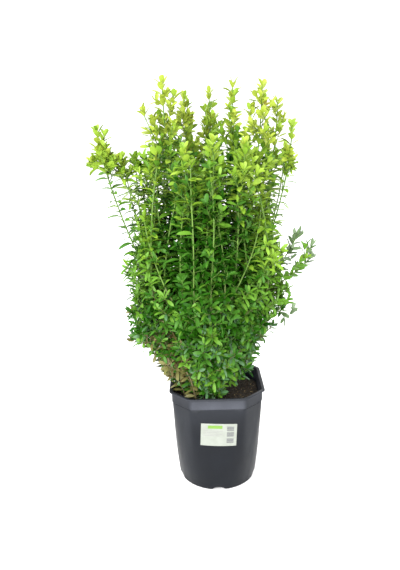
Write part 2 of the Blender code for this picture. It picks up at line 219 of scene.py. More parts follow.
SPRAYS = {
    "right_high": ((0.105, -0.030, 0.435), (0.178, -0.030, 0.560)),
    "right_middle": ((0.120, -0.045, 0.430), (0.198, -0.048, 0.533)),
    "right_low": ((0.115, -0.015, 0.425), (0.208, -0.015, 0.500)),
    "right_under": ((0.090, -0.050, 0.365), (0.148, -0.060, 0.422)),
}

# Low and high points, x and z, of canes that stand out on the front
FRONT_CANES = (
    ((-0.005, 0.463), (-0.003, 0.681)),
    ((0.047, 0.456), (0.078, 0.661)),
    ((-0.045, 0.470), (-0.041, 0.681)),
    ((-0.101, 0.452), (-0.155, 0.600)),
    ((-0.074, 0.450), (-0.070, 0.650)),
)

# Leaf colours, from the sunlit tips down to the shaded and the withered: the paler tones are partly painted light and
# the darker ones partly painted shade, and the bluish and misty tones are painted sheen
LEAF_COLOURS = {
    "tip": (0.300, 0.380, 0.046),
    "pale": (0.225, 0.345, 0.034),
    "lime": (0.162, 0.292, 0.024),
    "fresh": (0.088, 0.206, 0.018),
    "mid": (0.040, 0.127, 0.012),
    "dark": (0.015, 0.072, 0.003),
    "deep": (0.005, 0.034, 0.001),
    "blue": (0.058, 0.138, 0.052),
    "misty": (0.105, 0.165, 0.072),
    "bronze": (0.270, 0.260, 0.035),
    "dry": (0.122, 0.118, 0.036),
    "straw": (0.165, 0.155, 0.060),
    "rust": (0.078, 0.062, 0.020),
}
LEAF_GLOSS = {"deep": 0.06, "dark": 0.08, "mid": 0.16, "blue": 0.38, "misty": 0.38}

# Bark of the canes and twigs between two heights, dark and light
CANE_BARKS = [
    ("brown", 0.0, 0.34, (0.070, 0.055, 0.022), (0.180, 0.145, 0.068)),
    ("olive", 0.34, 0.46, (0.055, 0.085, 0.016), (0.120, 0.165, 0.034)),
    ("green", 0.46, 0.90, (0.060, 0.130, 0.014), (0.125, 0.225, 0.030)),
]


def linked(name, mesh):
    made = bpy.data.objects.new(name, mesh)
    bpy.context.scene.collection.objects.link(made)
    return made


def mesh_of(name, points, faces, smooth_angle=None):
    """A mesh from an array of points and an array of faces with the same number of corners each."""
    points = np.asarray(points, np.float32).reshape(-1, 3)
    faces = np.asarray(faces, np.int32)
    corners = faces.shape[1]
    mesh = bpy.data.meshes.new(name)
    mesh.vertices.add(len(points))
    mesh.vertices.foreach_set("co", points.ravel())
    mesh.loops.add(faces.size)
    mesh.loops.foreach_set("vertex_index", faces.ravel())
    mesh.polygons.add(len(faces))
    mesh.polygons.foreach_set("loop_start", np.arange(0, faces.size, corners, dtype=np.int32))
    mesh.update(calc_edges=True)
    mesh.validate()
    mesh.shade_smooth()
    if smooth_angle is not None:
        mesh.set_sharp_from_angle(angle=smooth_angle)
    return mesh


def finish_piece(piece, material, slot, *nodes):
    piece.data.materials.append(material)
    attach(piece, "root")
    if nodes:
        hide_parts(*nodes)
    return piece


# Materials

def new_material(name, colour, roughness):
    made = bpy.data.materials.new(name)
    made.use_nodes = True
    shader = made.node_tree.nodes["Principled BSDF"]
    shader.inputs["Base Color"].default_value = (*colour, 1.0)
    shader.inputs["Roughness"].default_value = roughness
    return made, made.node_tree, shader


def noise(tree, scale, detail=4.0, stretch=None):
    """A noise texture in the object's own space, which may be stretched along an axis."""
    place = tree.nodes.new("ShaderNodeTexCoord")
    texture = tree.nodes.new("ShaderNodeTexNoise")
    texture.inputs["Scale"].default_value = scale
    texture.inputs["Detail"].default_value = detail
    source = place.outputs["Object"]
    if stretch is not None:
        mapping = tree.nodes.new("ShaderNodeMapping")
        mapping.inputs["Scale"].default_value = stretch
        tree.links.new(source, mapping.inputs["Vector"])
        source = mapping.outputs["Vector"]
    tree.links.new(source, texture.inputs["Vector"])
    return texture.outputs["Fac"]


def ramp(tree, value, stops):
    made = tree.nodes.new("ShaderNodeValToRGB")
    while len(made.color_ramp.elements) < len(stops):
        made.color_ramp.elements.new(0.5)
    for element, (place, colour) in zip(made.color_ramp.elements, stops):
        element.position = place
        element.color = (*colour, 1.0)
    tree.links.new(value, made.inputs["Fac"])
    return made.outputs["Color"]


def multiplied(tree, first, second):
    made = tree.nodes.new("ShaderNodeMix")
    made.data_type = "RGBA"
    made.blend_type = "MULTIPLY"
    made.inputs["Factor"].default_value = 1.0
    tree.links.new(first, made.inputs["A"])
    tree.links.new(second, made.inputs["B"])
    return made.outputs["Result"]


def blended(tree, share, first, second):
    made = tree.nodes.new("ShaderNodeMix")
    made.data_type = "RGBA"
    tree.links.new(share, made.inputs["Factor"])
    tree.links.new(first, made.inputs["A"])
    tree.links.new(second, made.inputs["B"])
    return made.outputs["Result"]


def on_a_flat_side(tree, split):
    """1 on the pot's four broad sides, and 0 on its cut corners."""
    sizes = []
    for axis in "XY":
        size = tree.nodes.new("ShaderNodeMath")
        size.operation = "ABSOLUTE"
        tree.links.new(split.outputs[axis], size.inputs[0])
        sizes.append(size.outputs[0])
    least = tree.nodes.new("ShaderNodeMath")
    least.operation = "MINIMUM"
    tree.links.new(sizes[0], least.inputs[0])
    tree.links.new(sizes[1], least.inputs[1])
    fade = tree.nodes.new("ShaderNodeMapRange")
    fade.inputs["From Min"].default_value = FLAT_HALF + 0.003
    fade.inputs["From Max"].default_value = FLAT_HALF - 0.006
    tree.links.new(least.outputs[0], fade.inputs["Value"])
    return fade.outputs["Result"]


def bump(tree, shader, height, strength, distance):
    made = tree.nodes.new("ShaderNodeBump")
    made.inputs["Strength"].default_value = strength
    made.inputs["Distance"].default_value = distance
    tree.links.new(height, made.inputs["Height"])
    tree.links.new(made.outputs["Normal"], shader.inputs["Normal"])


def pot_material():
    """Satin charcoal plastic with painted light: a painted highlight on the collar's broad sides and just under the
    collar, a painted shadow just under the lip, and painted shade that darkens the wall towards its foot.
    """
    made, tree, shader = new_material("pot_satin", (0.006, 0.007, 0.010), 0.45)
    shader.inputs["Specular IOR Level"].default_value = 0.16
    place = tree.nodes.new("ShaderNodeTexCoord")
    split = tree.nodes.new("ShaderNodeSeparateXYZ")
    tree.links.new(place.outputs["Object"], split.inputs["Vector"])
    spread = tree.nodes.new("ShaderNodeMapRange")
    spread.inputs["From Max"].default_value = POT_HEIGHT
    tree.links.new(split.outputs["Z"], spread.inputs["Value"])
    collar = COLLAR_LOW / POT_HEIGHT
    # Painted light on the broad sides: painted shade at the foot, a painted highlight on the collar and a painted
    # shadow under the lip
    painted_light = ramp(tree, spread.outputs["Result"], [
        (0.0, (0.0022, 0.0032, 0.0055)),
        (0.60, (0.0030, 0.0040, 0.0064)),
        (collar - 0.012, (0.010, 0.0115, 0.015)),
        (collar + 0.008, (0.042, 0.045, 0.055)),
        (0.965, (0.038, 0.041, 0.050)),
        (0.990, (0.016, 0.018, 0.023)),
    ])
    # Painted shade on the cut corners: darker towards the foot
    painted_corner_shade = ramp(tree, spread.outputs["Result"], [
        (0.0, (0.0022, 0.0032, 0.0055)),
        (collar, (0.0085, 0.0100, 0.0135)),
        (1.0, (0.018, 0.020, 0.026)),
    ])
    # The painted collar highlight goes on the broad sides only; the cut corners keep the darker painted shade
    painted_light = blended(tree, on_a_flat_side(tree, split), painted_corner_shade, painted_light)
    cloud = ramp(tree, noise(tree, 22, 6), [(0.30, (0.84,) * 3), (0.70, (1.16,) * 3)])
    tree.links.new(multiplied(tree, painted_light, cloud), shader.inputs["Base Color"])
    streaks = noise(tree, 60, 6, (1, 1, 0.25))
    rough = ramp(tree, streaks, [(0.3, (0.38,) * 3), (0.7, (0.52,) * 3)])
    tree.links.new(rough, shader.inputs["Roughness"])
    bump(tree, shader, noise(tree, 900, 3), 0.15, 0.0002)
    return made


def compost_material(name, dark, light):
    made, tree, shader = new_material(name, dark, 0.95)
    colour = ramp(tree, noise(tree, 160, 8), [(0.35, dark), (0.68, light)])
    tree.links.new(colour, shader.inputs["Base Color"])
    bump(tree, shader, noise(tree, 700, 8), 0.9, 0.0012)
    return made


def paper_material():
    made, tree, shader = new_material("sticker_paper", (0.225, 0.24, 0.21), 0.55)
    shader.inputs["Specular IOR Level"].default_value = 0.2
    colour = ramp(tree, noise(tree, 90, 5), [(0.3, (0.21, 0.225, 0.195)), (0.7, (0.24, 0.255, 0.225))])
    tree.links.new(colour, shader.inputs["Base Color"])
    bump(tree, shader, noise(tree, 1500, 4), 0.08, 0.0001)
    return made


def ink_material(name, colour):
    """Printed ink that is a little uneven, as from a thermal printer."""
    made, tree, shader = new_material(name, colour, 0.45)
    faded = tuple(0.8 * c + 0.05 for c in colour)
    stops = [(0.45, colour), (0.75, faded)]
    tree.links.new(ramp(tree, noise(tree, 800, 4), stops), shader.inputs["Base Color"])
    return made


def bark_material(name, dark, light):
    made, tree, shader = new_material("bark_" + name, light, 0.72)
    colour = ramp(tree, noise(tree, 420, 6, (1, 1, 0.15)), [(0.32, dark), (0.66, light)])
    tree.links.new(colour, shader.inputs["Base Color"])
    bump(tree, shader, noise(tree, 900, 5, (1, 1, 0.2)), 0.5, 0.0004)
    return made


def leaf_material(name, colour):
    made, tree, shader = new_material("leaf_" + name, colour, 0.38)
    shader.inputs["Specular IOR Level"].default_value = LEAF_GLOSS.get(name, 0.20)
    return made


# Pot

def octagon_reach(angles, half, sharpness=CORNER_SHARPNESS):
    """Reach of the rim's eight-sided outline, with its corners rounded."""
    cut = half * (1 + RIM_STRAIGHT_HALF / RIM_HALF) / 2 ** 0.5
    total = np.zeros_like(angles)
    for side in range(8):
        facing = np.clip(np.cos(angles - side * pi / 4), 0, None)
        total += (facing / (half if side % 2 == 0 else cut)) ** sharpness
    return total ** (-1 / sharpness)


def body_reach(angles, z):
    """The pot body's surface: round at its foot, eight-sided at the collar."""
    square = min(max((z - ROUND_BELOW) / (COLLAR_LOW - ROUND_BELOW), 0.0), 1.0)
    round_reach = BASE_RADIUS + BODY_FLARE * z
    sharpness = CORNER_SOFTNESS + (CORNER_SHARPNESS - CORNER_SOFTNESS) * square ** 4
    eight_sided = octagon_reach(angles, RIM_HALF - LIP_OVERHANG - COLLAR_STEP, sharpness)
    return (1 - square) * round_reach + square * eight_sided


def arch_lift(angles):
    """How far the pot's lower edge is raised round each drain arch."""
    lift = np.zeros_like(angles)
    for index in range(ARCH_COUNT):
        centre = -pi / 2 + TAU * index / ARCH_COUNT
        away = BASE_RADIUS * np.abs((angles - centre + pi) % TAU - pi) / (ARCH_WIDTH / 2)
        lift = np.maximum(lift, ARCH_HEIGHT * np.sqrt(np.clip(1 - away ** 2, 0, 1)))
    return lift


def pot_rings(angles):
    """The pot's section from the middle of its underside, over the rim, down to its floor."""
    collar = octagon_reach(angles, RIM_HALF - LIP_OVERHANG)
    rim = octagon_reach(angles, RIM_HALF)
    inner = collar - WALL
    lift = arch_lift(angles)
    flat = np.zeros_like(angles)
    rings = [(flat + r, flat) for r in (0.002, 0.04, 0.068)]
    rings.append((flat + 0.073, flat + 0.6 * lift))
    for turn in np.linspace(0, pi / 2, 5):
        reach = BASE_RADIUS - BASE_ROUNDING * (1 - sin(turn))
        rings.append((flat + reach, flat + BASE_ROUNDING * (1 - cos(turn)) + lift))
    for z in np.linspace(ROUND_BELOW + 0.003, COLLAR_LOW - 0.0022, 23):
        rings.append((body_reach(angles, z), flat + z))
    groove = body_reach(angles, COLLAR_LOW)
    rings += [
        (groove - 0.0007, flat + COLLAR_LOW - 0.0014),
        (groove - 0.0007, flat + COLLAR_LOW - 0.0004),
        (collar - 0.0006, flat + COLLAR_LOW),
        (collar, flat + COLLAR_LOW + 0.0007),
        (collar, flat + COLLAR_LOW + 0.010),
        (collar, flat + POT_HEIGHT - 0.0044),
        (collar + 0.0008, flat + POT_HEIGHT - 0.0034),
        (rim - 0.0012, flat + POT_HEIGHT - 0.0030),
        (rim - 0.0003, flat + POT_HEIGHT - 0.0026),
        (rim, flat + POT_HEIGHT - 0.0018),
        (rim - 0.0003, flat + POT_HEIGHT - 0.0008),
        (rim - 0.0012, flat + POT_HEIGHT),
        (inner + 0.0012, flat + POT_HEIGHT),
        (inner + 0.0003, flat + POT_HEIGHT - 0.0006),
        (inner, flat + POT_HEIGHT - 0.0020),
        (inner, flat + COLLAR_LOW + 0.003),
    ]
    for z in (*np.linspace(COLLAR_LOW, ROUND_BELOW, 8), FLOOR_THICKNESS):
        rings.append((body_reach(angles, z) - WALL, flat + z))
    rings.append((flat + 0.002, flat + FLOOR_THICKNESS))
    return rings


def loft(rings, angles):
    """Points and four-cornered faces of a surface through closed rings."""
    points = np.array([
        np.stack([reach * np.cos(angles), reach * np.sin(angles), z], 1) for reach, z in rings
    ])
    return points.reshape(-1, 3), ring_faces(len(rings), len(angles))


def ring_faces(count, sides):
    start = (np.arange(count - 1)[:, None] * sides + np.arange(sides)[None, :]).ravel()
    after = (np.arange(count - 1)[:, None] * sides + (np.arange(sides)[None, :] + 1) % sides).ravel()
    return np.stack([start, after, after + sides, start + sides], 1)


def make_pot():
    angles = np.arange(POT_SIDES) * TAU / POT_SIDES
    points, faces = loft(pot_rings(angles), angles)
    last = len(points) - POT_SIDES
    mesh = mesh_of("pot_shell", points, faces, radians(38))
    cap_ring(mesh, range(POT_SIDES - 1, -1, -1))
    cap_ring(mesh, range(last, last + POT_SIDES))
    return finish_piece(linked("pot_shell", mesh), pot_material(), "pot_plastic", "pot")


def cap_ring(mesh, corners):
    """Closes a small ring of points with one flat face."""
    import bmesh
    form = bmesh.new()
    form.from_mesh(mesh)
    form.verts.ensure_lookup_table()
    form.faces.new([form.verts[i] for i in corners])
    form.to_mesh(mesh)
    form.free()


# Compost

def make_compost(rng):
    angles = np.arange(96) * TAU / 96
    edge = body_reach(angles, SOIL_TOP) - WALL - 0.0006
    shares = [1.0, 0.985, 0.95, 0.9, 0.82, 0.72, 0.6, 0.48, 0.36, 0.24, 0.12, 0.02]
    phases = rng.uniform(0, TAU, (6, 3))
    rings = [(edge - 0.004, np.full_like(angles, SOIL_TOP - SOIL_DEPTH))]
    for share in shares:
        x = share * edge * np.cos(angles)
        y = share * edge * np.sin(angles)
        wave = sum(
            np.sin(x * f + p[0]) * np.cos(y * f * 1.1 + p[1]) / k
            for k, (f, p) in enumerate(zip((60, 110, 190, 300, 420, 600), phases), 1)
        )
        rings.append((share * edge, SOIL_TOP - 0.0026 + 0.0011 * wave))
    points, faces = loft(rings, angles)
    points[len(angles):] += rng.normal(0, 0.00035, (len(points) - len(angles), 3))
    mesh = mesh_of("compost_bed", points, faces)
    cap_ring(mesh, range(len(points) - len(angles), len(points)))
    cap_ring(mesh, range(len(angles) - 1, -1, -1))
    dark = compost_material("compost", (0.007, 0.005, 0.003), (0.030, 0.021, 0.011))
    bed = finish_piece(linked("compost_bed", mesh), dark, "compost", "compost")
    crumb_finish = compost_material("compost_crumbs", (0.010, 0.007, 0.004), (0.050, 0.034, 0.017))
    fleck_finish = compost_material("compost_flecks", (0.13, 0.09, 0.04), (0.34, 0.26, 0.13))
    for name, count, size, finish in (
        ("compost_crumbs", 2600, 0.0017, crumb_finish),
        ("compost_flecks", 170, 0.0012, fleck_finish),
    ):
        piece = linked(name, crumbs(rng, name, count, size))
        finish_piece(piece, finish, "compost")
    return bed


def crumbs(rng, name, count, size):
    """Small rough lumps scattered over the compost."""
    shape = np.array([
        (1, 0, 0), (0, 1, 0), (-1, 0, 0), (0, -1, 0), (0, 0, 1), (0, 0, -1),
    ], float)
    sides = np.array([
        (0, 1, 4), (1, 2, 4), (2, 3, 4), (3, 0, 4), (1, 0, 5), (2, 1, 5), (3, 2, 5), (0, 3, 5),
    ])
    turn = rng.uniform(0, TAU, count)
    reach = (body_reach(turn, SOIL_TOP) - WALL - 0.0045) * np.sqrt(rng.uniform(0, 1, count))
    middle = np.stack([reach * np.cos(turn), reach * np.sin(turn), np.full(count, SOIL_TOP - 0.0022)], 1)
    sizes = size * rng.uniform(0.4, 1.5, (count, 1, 1)) * rng.uniform(0.5, 1.3, (count, 6, 3))
    spin = rng.uniform(0, TAU, count)
    c = np.cos(spin)[:, None]
    s = np.sin(spin)[:, None]
    points = shape[None] * sizes
    x = points[:, :, 0] * c - points[:, :, 1] * s
    y = points[:, :, 0] * s + points[:, :, 1] * c
    points = np.stack([x, y, points[:, :, 2]], 2) + middle[:, None, :]
    faces = (sides[None] + 6 * np.arange(count)[:, None, None]).reshape(-1, 3)
    return mesh_of(name, points, faces, radians(30))


# Label

def label_point(u, v, lift):
    """A point on the sticker, u to the right and v up from its middle, both in metres."""
    x = LABEL_MIDDLE_X + u * cos(LABEL_TURN) + v * sin(LABEL_TURN)
    z = LABEL_MIDDLE_Z + v * cos(LABEL_TURN) - u * sin(LABEL_TURN)
    angle = -pi / 2
    for _ in range(5):
        reach = float(body_reach(np.array([angle]), z)[0]) + lift
        angle = -pi / 2 + asin(x / reach)
    return reach * cos(angle), reach * sin(angle), z


def patch(left, right, low, high, lift, thickness):
    """A thin curved slab over a rectangle of the sticker."""
    across = max(2, int((right - left) / 0.004) + 1)
    up = max(2, int((high - low) / 0.006) + 1)
    skins = []
    for height in (lift, lift + thickness):
        skins.append([
            label_point(u, v, height)
            for v in np.linspace(low, high, up)
            for u in np.linspace(left, right, across)
        ])
    back = 0
    front = across * up
    faces = []
    for r in range(up - 1):
        for c in range(across - 1):
            a = r * across + c
            faces.append((front + a, front + a + 1, front + a + across + 1, front + a + across))
            faces.append((back + a, back + a + across, back + a + across + 1, back + a + 1))
    border = [c for c in range(across)] + [r * across + across - 1 for r in range(1, up)]
    border += [(up - 1) * across + c for c in range(across - 2, -1, -1)]
    border += [r * across for r in range(up - 2, 0, -1)]
    for a, b in zip(border, border[1:] + border[:1]):
        faces.append((back + a, back + b, front + b, front + a))
    return skins[0] + skins[1], faces


def slabs(name, boxes, lift, thickness):
    """Several patches of the sticker in one mesh."""
    points = []
    faces = []
    for left, right, low, high in boxes:
        more, sides = patch(left, right, low, high, lift, thickness)
        faces += [tuple(len(points) + i for i in side) for side in sides]
        points += more
    return linked(name, mesh_of(name, points, faces, radians(30)))


def make_label():
    half = LABEL_WIDTH / 2
    tall = LABEL_HEIGHT / 2
    paper = slabs("label_paper", [(-half, half, -tall, tall)], LABEL_LIFT, PAPER)
    finish_piece(paper, paper_material(), "label_paper", "label")
    above = LABEL_LIFT + PAPER
    green = slabs("label_stripe", [(-0.0230, 0.0070, 0.0145, 0.0215)], above, PRINT)
    finish_piece(green, ink_material("green_ink", (0.10, 0.21, 0.012)), "label_paper")
    bars = []
    for low, high in ((-0.0185, -0.0075), (-0.0035, 0.0060), (0.0095, 0.0190)):
        z = low
        step = 0
        while z < high:
            thick = (0.0007, 0.0012, 0.0005, 0.0015)[step % 4]
            bars.append((0.0165, 0.0310, z, z + thick))
            z += thick + (0.0008, 0.0006, 0.0011)[step % 3]
            step += 1
    finish_piece(slabs("label_bars", bars, above, PRINT), ink_material("grey_ink", (0.055, 0.055, 0.065)), "label_paper")
    rules = [(-0.0310, 0.0075 - 0.006 * (k % 2), 0.0085 - 0.0036 * k, 0.0096 - 0.0036 * k) for k in range(4)]
    finish_piece(slabs("label_rules", rules, above, PRINT), ink_material("pale_ink", (0.19, 0.19, 0.18)), "label_paper")


# Limbs

def limb_point(tip, share):
    spread = 1 - (1 - share) ** LEAN_POWER
    return np.array([tip[0] * spread, tip[1] * spread, SOIL_TOP + (tip[2] - SOIL_TOP) * share])


def body_point(index, share):
    turn = radians(30) + TAU * index / BODY_COUNT
    opened = 1 - (1 - share) ** 2
    reach = BODY_LOW_RING + (BODY_HIGH_RING - BODY_LOW_RING) * opened
    side = BODY_LOW_SHIFT + (CROWN_SHIFT - BODY_LOW_SHIFT) * opened
    return np.array([side + reach * cos(turn), reach * sin(turn), BODY_LOW + (BODY_TOP - BODY_LOW) * share])


def curve(points, count):
    """A smooth line through or near control points, by repeated blending."""
    shares = np.linspace(0, 1, count)
    levels = [np.repeat(np.asarray(p, float)[None], count, 0) for p in points]
    while len(levels) > 1:
        levels = [a + (b - a) * shares[:, None] for a, b in zip(levels, levels[1:])]
    return levels[0]


def bough_line(index):
    fork = np.array([0, 0, SOIL_TOP + STOCK_HEIGHT * 0.7])
    aim = body_point(index, 0.2)
    knee = fork + np.array([aim[0] * 0.35, aim[1] * 0.35, (aim[2] - fork[2]) * 0.5])
    return curve((fork, knee, aim), 16)[2:]


def tangents(points):
    ahead = np.gradient(points, axis=0)
    return ahead / np.linalg.norm(ahead, axis=1)[:, None]


def tube(points, radii, sides, relief=None):
    """A round limb along a line, whose surface may be raised and sunk by relief, a rings by sides array."""
    along = tangents(points)
    side = np.cross(along[0], (0.3, 1, 0.2))
    side /= np.linalg.norm(side)
    rings = []
    turns = np.arange(sides) * TAU / sides
    for i, point in enumerate(points):
        side = side - along[i] * side.dot(along[i])
        side /= np.linalg.norm(side)
        across = np.cross(along[i], side)
        reach = np.full(sides, radii[i])
        if relief is not None:
            reach = reach * (1 + relief[i])
        rings.append(point + reach[:, None] * (np.cos(turns)[:, None] * side + np.sin(turns)[:, None] * across))
    points = np.concatenate(rings + [points[:1], points[-1:]])
    faces = ring_faces(len(rings), sides)
    first = len(rings) * sides
    ring = np.arange(sides)
    start = np.stack([(ring + 1) % sides, ring, np.full(sides, first), np.full(sides, first)], 1)
    top = (len(rings) - 1) * sides
    end = np.stack([top + ring, top + (ring + 1) % sides, np.full(sides, first + 1), np.full(sides, first + 1)], 1)
    quads = np.concatenate([faces[:, [0, 1, 2]], faces[:, [0, 2, 3]], start[:, :3], end[:, :3]])
    return points, quads


def joined(name, tubes, smooth_angle=None):
    points = []
    faces = []
    count = 0
    for more, sides in tubes:
        points.append(more)
        faces.append(sides + count)
        count += len(more)
    return linked(name, mesh_of(name, np.concatenate(points), np.concatenate(faces), smooth_angle))


def bark_relief(rng, rings, sides, depth):
    """Ridges that run along a limb and wander, for a limb's surface."""
    turns = np.arange(sides) * TAU / sides
    along = np.linspace(0, 1, rings)[:, None]
    ridges = sum(
        np.sin(turns[None] * k + rng.uniform(0, TAU) + 3 * np.sin(along * rng.uniform(2, 7) + rng.uniform(0, TAU)))
        / k ** 0.5
        for k in (2, 3, 5)
    )
    return depth * (ridges * 0.45 + rng.normal(0, 0.35, (rings, sides)))


def resampled(points, step):
    """Points every step along a line, with its own last point."""
    gaps = np.linalg.norm(np.diff(points, axis=0), axis=1)
    along = np.concatenate([[0], np.cumsum(gaps)])
    count = max(2, int(along[-1] / step) + 1)
    wanted = np.linspace(0, along[-1], count)
    return np.stack([np.interp(wanted, along, points[:, k]) for k in range(3)], 1)


class Plant:
    """The limbs as they grow, the places where twigs can start, and the leaves by colour and region."""

    def __init__(self, rng):
        self.rng = rng
        self.canes = []
        self.twigs = []
        self.starts = []
        self.leaves = {}

    def add_cane(self, line, base, tip, kind):
        self.canes.append((line, base, tip, kind))

    def open_to_twigs(self, points, radius):
        for point, way in zip(points, tangents(points)):
            self.starts.append((*point, *way, radius))


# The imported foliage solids, which bound what grows

masses = {}


def read_masses():
    """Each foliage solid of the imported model, as a tree that tells how deep inside it a point is."""
    for name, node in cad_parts.items():
        if name.split("_")[0] in ("mass", "plume", "spray"):
            corners = [v.co.copy() for v in node.data.vertices]
            sides = [tuple(p.vertices) for p in node.data.polygons]
            low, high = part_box(name)
            masses[name] = (BVHTree.FromPolygons(corners, sides), np.array(low), np.array(high))


def depth_in(name, point):
    """How far inside a foliage solid a point lies; below zero outside it."""
    place, normal, _, away = masses[name][0].find_nearest(Vector(point))
    return away if (Vector(point) - place).dot(normal) < 0 else -away


def mass_at(point, margin=0.0):
    """The foliage solid that holds a point, or comes within the margin of it, and the depth in it."""
    best = (None, -margin)
    for name, (_, low, high) in masses.items():
        if (point > low - margin).all() and (point < high + margin).all():
            depth = depth_in(name, point)
            if depth > best[1]:
                best = (name, depth)
    return best


OUTLINE_HEIGHTS = np.linspace(0.20, 0.82, 63)
OUTLINE_TURNS = np.linspace(-pi, pi, 37)
outline = np.zeros((len(OUTLINE_HEIGHTS), len(OUTLINE_TURNS)))


def read_outline():
    """The crown's reach from its axis at each height and in each direction."""
    far = 0.4
    for row, z in enumerate(OUTLINE_HEIGHTS):
        near = [m[0] for m in masses.values() if m[1][2] < z < m[2][2]]
        for column, turn in enumerate(OUTLINE_TURNS):
            out = Vector((cos(turn), sin(turn), 0))
            start = Vector((CROWN_SHIFT, 0, z)) + far * out
            hits = [tree.ray_cast(start, -out, far)[3] for tree in near]
            outline[row, column] = max([far - h for h in hits if h is not None], default=0.02)


def crown_reach(turn, z):
    column = np.interp(turn, OUTLINE_TURNS, np.arange(len(OUTLINE_TURNS)))
    row = np.interp(z, OUTLINE_HEIGHTS, np.arange(len(OUTLINE_HEIGHTS)))
    c, r = int(column), int(row)
    c2, r2 = min(c + 1, outline.shape[1] - 1), min(r + 1, outline.shape[0] - 1)
    above = outline[r2, c] + (outline[r2, c2] - outline[r2, c]) * (column - c)
    below = outline[r, c] + (outline[r, c2] - outline[r, c]) * (column - c)
    return below + (above - below) * (row - r)


def crown_share(point):
    """0 on the crown's axis and 1 at its outline."""
    x, y = point[0] - CROWN_SHIFT, point[1]
    return hypot(x, y) / crown_reach(atan2(y, x), point[2])


# Canes

def wander(rng, points, amount):
    """The same line with a slow sideways drift that is nothing at its foot."""
    shares = np.linspace(0, 1, len(points))[:, None]
    drift = sum(
        np.sin(shares * rng.uniform(3, 9) + rng.uniform(0, TAU)) * rng.normal(0, 1, 3)[None] for _ in range(2)
    )
    drift = drift - drift[0]
    drift[:, 2] *= 0.2
    return points + amount * drift * np.sqrt(shares)


def eased(value):
    value = np.clip(value, 0, 1)
    return value * value * (3 - 2 * value)


def nearest_bough(x, y):
    ends = [body_point(i, 0.2) for i in range(BODY_COUNT)]
    return min(range(BODY_COUNT), key=lambda i: hypot(ends[i][0] - x, ends[i][1] - y))


def rooted(rng, upper):
    """A line that leaves the nearest bough low down and runs smoothly into an upper stretch."""
    low = bough_line(nearest_bough(upper[0][0], upper[0][1]))
    beneath = int(np.sum(low[:, 2] < upper[0][2] - 0.03))
    start = int(rng.integers(max(beneath // 2, 1), max(beneath, 3)))
    foot = low[start]
    reach = 0.4 * np.linalg.norm(upper[0] - foot)
    ways = tangents(low)[start], tangents(upper)[0]
    lower = curve((foot, foot + ways[0] * reach, upper[0] - ways[1] * reach, upper[0]), 12)
    return np.concatenate([lower[:-1], upper])


def inside_only(line):
    """The line as far as its last point that lies in the foliage."""
    while len(line) > 12 and mass_at(line[-1], 0.002)[0] is None:
        line = line[:-1]
    return line


def grow_plume_canes(plant):
    rng = plant.rng
    for name, tip in sorted(PLUME_TIPS.items(), key=lambda item: item[0] in SIDE_BRANCHES):
        if name in SIDE_BRANCHES:
            parent = next(line for line, _, _, kind in plant.canes if kind == SIDE_BRANCHES[name])
            foot = parent[np.argmin(np.abs(parent[:, 2] - tip[2] + SIDE_BRANCH_RISE))]
            knee = (0.35 * foot[0] + 0.65 * tip[0], 0.35 * foot[1] + 0.65 * tip[1], 0.6 * foot[2] + 0.4 * tip[2])
            plant.add_cane(resampled(curve((foot, knee, tip), 14), CANE_STEP), CANE_TIP_RADIUS, TWIG_TIP_RADIUS, name)
            continue
        rise = np.linspace((CANE_JOIN - SOIL_TOP) / (tip[2] - SOIL_TOP), 1, 26)
        upper = wander(rng, np.array([limb_point(tip, s) for s in rise]), 0.0012)
        upper[:, 2] -= 0.007 * np.linspace(0, 1, 26)
        line = resampled(rooted(rng, upper), CANE_STEP)
        plant.add_cane(line, CANE_BASE_RADIUS, CANE_TIP_RADIUS, name)


def grow_plume_shoots(plant):
    """Side shoots that climb beside each plume's cane and make its top a cluster."""
    rng = plant.rng
    for line, _, _, name in list(plant.canes):
        tip = PLUME_TIPS[name]
        turn = rng.uniform(0, TAU)
        for _ in range(PLUME_SHOOTS):
            turn += TAU * GOLDEN_SHARE
            low = tip[2] - rng.uniform(0.065, 0.20)
            start = int(np.argmin(np.abs(line[:, 2] - low)))
            end = int(np.argmin(np.abs(line[:, 2] - low - rng.uniform(0.025, 0.050))))
            reach = rng.uniform(0.020, 0.036)
            while reach > 0.008 and not plume_holds(name, line[end] + reach * ray(turn)):
                reach -= 0.002
            goal = line[end] + reach * ray(turn)
            if openness(goal) > 0.8:
                continue
            foot = line[start]
            knee = foot + 0.8 * reach * ray(turn) + (0, 0, 0.35 * (goal[2] - foot[2]))
            plant.add_cane(resampled(curve((foot, knee, goal), 12), 0.006), TWIG_BASE_RADIUS, TWIG_TIP_RADIUS, "shoot")


def plume_holds(name, point):
    return depth_in("plume_" + name, point) > -0.004 and within_edges(point) and openness(point) < 0.9


def within_edges(point):
    left, right = (np.interp(point[2], EDGE_HEIGHTS, edge) for edge in (LEFT_EDGE, RIGHT_EDGE))
    return left < point[0] < right


def openness(point):
    """The share of twigs left out at a place, so that the sky shows between the canes there."""
    for left, right, low, high, share in SIDE_GAPS:
        if left < point[0] < right and low < point[2] < high:
            return share
    return 0.0


def ray(turn):
    return np.array([cos(turn), sin(turn), 0])


def grow_surface_canes(plant):
    """Upright canes just inside the crown's outline, the ladders of leaves that show on its sides."""
    rng = plant.rng
    for k in range(SURFACE_CANES):
        turn = TAU * (k + rng.uniform(-0.3, 0.3)) / SURFACE_CANES - pi
        slant = rng.normal(0, 0.10)
        grow_surface_cane(plant, turn - slant, turn + slant, rng.uniform(0.60, 0.72), rng.uniform(0.72, 0.92))
    for low, high in FRONT_CANES:
        turns = [front_turn(x, z) for x, z in (low, high)]
        rate = (turns[1] - turns[0]) / (high[1] - low[1])
        first = turns[0] + rate * (FAN_LOW - low[1])
        grow_surface_cane(plant, first, turns[1], high[1], 0.93)


